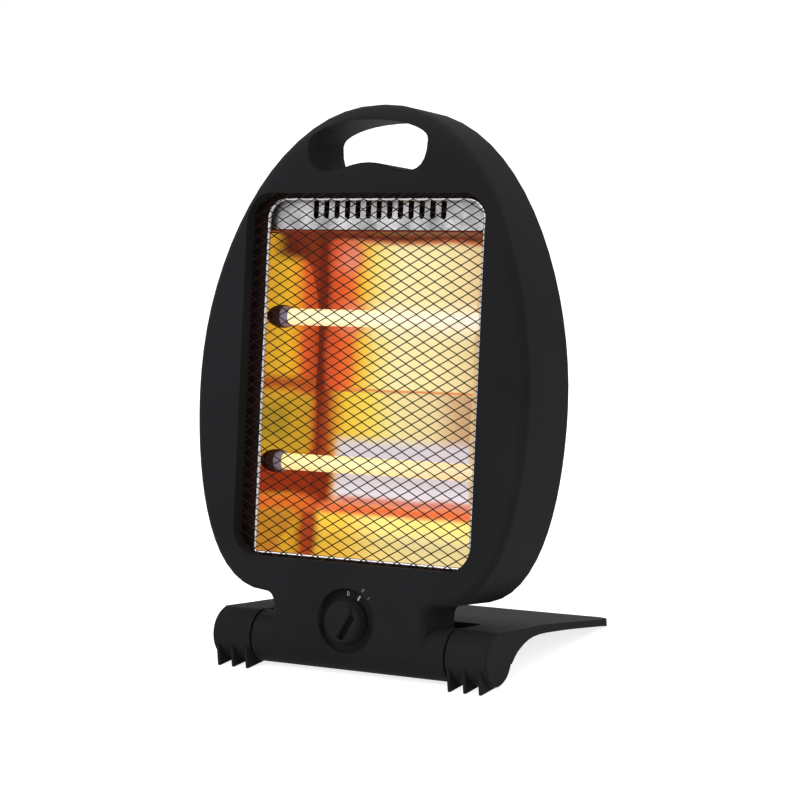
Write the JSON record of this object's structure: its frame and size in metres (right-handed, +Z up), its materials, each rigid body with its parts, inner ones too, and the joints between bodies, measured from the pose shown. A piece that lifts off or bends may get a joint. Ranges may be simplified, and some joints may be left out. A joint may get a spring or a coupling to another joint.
{
  "type": "halogen heater",
  "caption": "Portable radiant heater with quartz lamps in an egg-shaped black body that tilts in its stand, with a carry handle and a dial.",
  "frame": {"origin": "centre of the footprint on the floor", "axes": "+X to the right seen from the front, -Y to the front, +Z up"},
  "size_m": [0.2468, 0.1868, 0.3605],
  "materials": {
    "black_plastic": "fine-textured moulded plastic",
    "guard_wire": "dark heat-resistant coating",
    "bright_steel": "polished sheet",
    "plain_steel": "zinc-plated",
    "switch_plastic": "moulded",
    "soft_black": "soft matte",
    "brass": "plain",
    "ceramic": "unglazed ceramic",
    "quartz": "frosted, glowing",
    "coil_alloy": "hot wire"
  },
  "bodies": {
    "stand": {"stand": "black_plastic", "pivot_pin_left": "plain_steel", "pivot_pin_right": "plain_steel", "drag_washer_left": "soft_black", "drag_washer_right": "soft_black"},
    "heater_body": {"front_shell": "black_plastic", "rear_cover": "black_plastic", "guard_grille": "guard_wire", "grille_frame": "guard_wire", "reflector_upper": "bright_steel", "reflector_lower": "bright_steel", "reflector_end_left": "bright_steel", "reflector_end_right": "bright_steel", "vent_panel": "bright_steel", "heat_shield": "plain_steel", "rotary_switch": "switch_plastic", "terminal_block": "switch_plastic", "tip_over_switch": "soft_black", "thermal_cutout": "brass", "cord_grommet": "soft_black", "lamp_bracket_left": "plain_steel", "upper_lamp_cap_left": "ceramic", "lower_lamp_cap_left": "ceramic", "lamp_bracket_right": "plain_steel", "upper_lamp_cap_right": "ceramic", "lower_lamp_cap_right": "ceramic", "upper_quartz_tube": "quartz", "upper_filament": "coil_alloy", "lower_quartz_tube": "quartz", "lower_filament": "coil_alloy", "cover_screw_1": "plain_steel", "cover_screw_2": "plain_steel", "cover_screw_3": "plain_steel", "cover_screw_4": "plain_steel", "cover_screw_5": "plain_steel", "cover_screw_6": "plain_steel"},
    "control": {"control_knob": "black_plastic", "switch_shaft": "plain_steel"}
  },
  "joints": [
    {"name": "body_tilt", "type": "hinge", "parent": "stand", "child": "heater_body", "pos_m": [0, -0.06962, 0.0183], "axis": [-1, 0, 0], "range_deg": [-11, 10]},
    {"name": "dial_turn", "type": "hinge", "parent": "heater_body", "child": "control", "pos_m": [0, -0.06647, 0.0345], "axis": [0, 0.9816, -0.1908], "range_deg": [-30, 30]}
  ]
}
